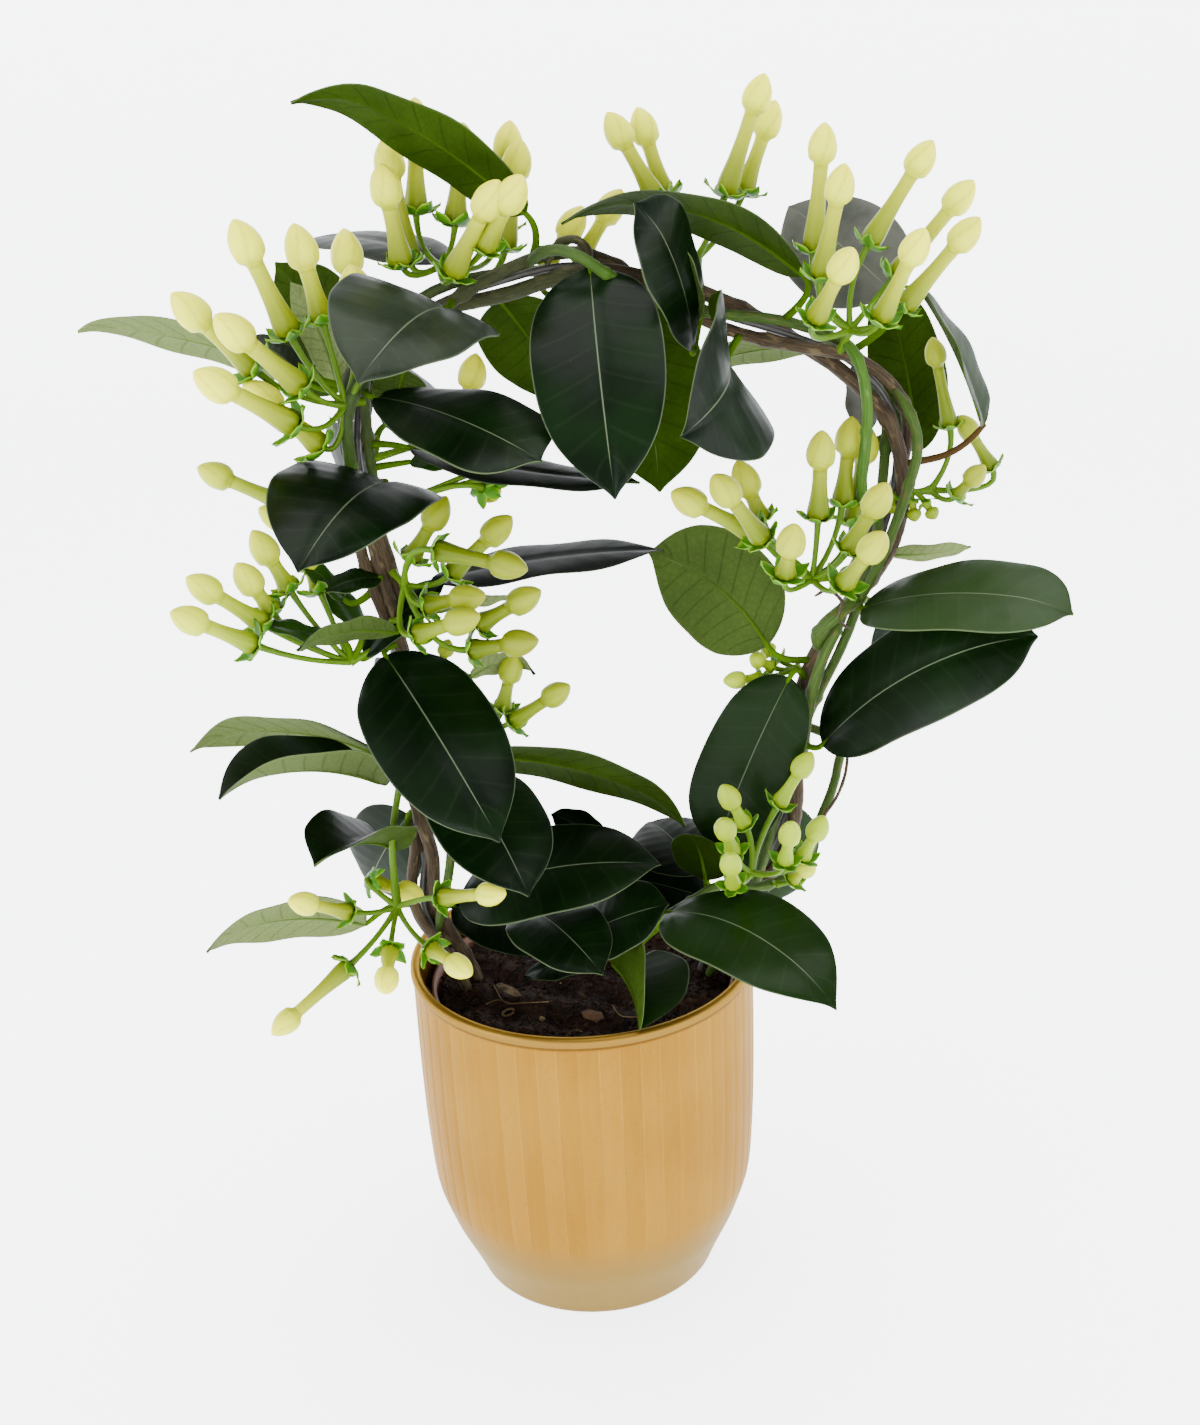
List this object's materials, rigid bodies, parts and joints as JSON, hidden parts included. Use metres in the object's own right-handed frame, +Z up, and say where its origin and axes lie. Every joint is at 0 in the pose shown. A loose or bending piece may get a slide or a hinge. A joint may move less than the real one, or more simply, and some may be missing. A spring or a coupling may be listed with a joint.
{
  "type": "potted madagascar jasmine",
  "caption": "Madagascar jasmine twined round a wire hoop, with leathery leaves and clusters of closed waxy buds, in a gold glazed cover pot",
  "frame": {"origin": "middle of the pot's underside", "axes": "+Z up along the pot's axis, -Y towards the plant's front, +X to its right as seen from the front"},
  "size_m": [0.3249, 0.1803, 0.4431],
  "materials": {
    "gilt_glaze": "satin gold glaze with fine upright streaks",
    "nursery_plastic": "terracotta brown, matt",
    "potting_soil": "dark peat with bark chips",
    "hoop_wire": "dull galvanised wire",
    "bark": "thin ridged brown bark",
    "green_stem": "smooth green stem skin",
    "leaf": "leathery, glossy dark green above and paler below",
    "bud": "waxy cream to pale green"
  },
  "bodies": {
    "root": {"pot": "gilt_glaze", "grow_pot": "nursery_plastic", "soil": "potting_soil", "hoop": "hoop_wire", "stem_old": "bark", "stem_second": "bark", "stem_young": "green_stem", "low_shoot": "green_stem", "leaf_top_left_arch": "leaf", "leaf_far_left_upper": "leaf", "leaf_left_back_up": "leaf", "leaf_top_left_back": "leaf", "leaf_heart_top_left": "leaf", "leaf_dark_left_mid": "leaf", "leaf_centre_big": "leaf", "leaf_centre_shelf": "leaf", "leaf_behind_centre": "leaf", "leaf_behind_centre_left": "leaf", "leaf_top_folded": "leaf", "leaf_top_long": "leaf", "leaf_grey_back": "leaf", "leaf_right_narrow": "leaf", "leaf_right_net": "leaf", "leaf_heart_right_top": "leaf", "leaf_back_long": "leaf", "leaf_gap_dark": "leaf", "leaf_light_green": "leaf", "leaf_right_mid": "leaf", "leaf_right_dark": "leaf", "leaf_centre_right": "leaf", "leaf_low_centre": "leaf", "leaf_big_dark_left": "leaf", "leaf_low_left_dark": "leaf", "leaf_low_shelf": "leaf", "leaf_low_right_back": "leaf", "leaf_far_left_low": "leaf", "leaf_heart_left_mid": "leaf", "umbel_left_upper": "bud", "umbel_top_left": "bud", "umbel_top_centre": "bud", "umbel_top_right": "bud", "umbel_right_upper": "bud", "umbel_right_outer": "bud", "umbel_right_mid": "bud", "umbel_left_mid_back": "bud", "umbel_left_lower": "bud", "umbel_left_inner": "bud", "umbel_left_low_back": "bud", "umbel_low_left": "bud", "umbel_low_right": "bud", "umbel_right_young": "bud", "twig_far_left": "leaf", "twig_left_mid": "leaf", "twig_low_left": "leaf", "twig_low_centre": "leaf", "twig_low_front": "leaf", "twig_low_right": "leaf", "twig_back_upper_left": "leaf", "twig_back_lower_left": "leaf", "twig_back_right": "leaf"}
  },
  "joints": []
}
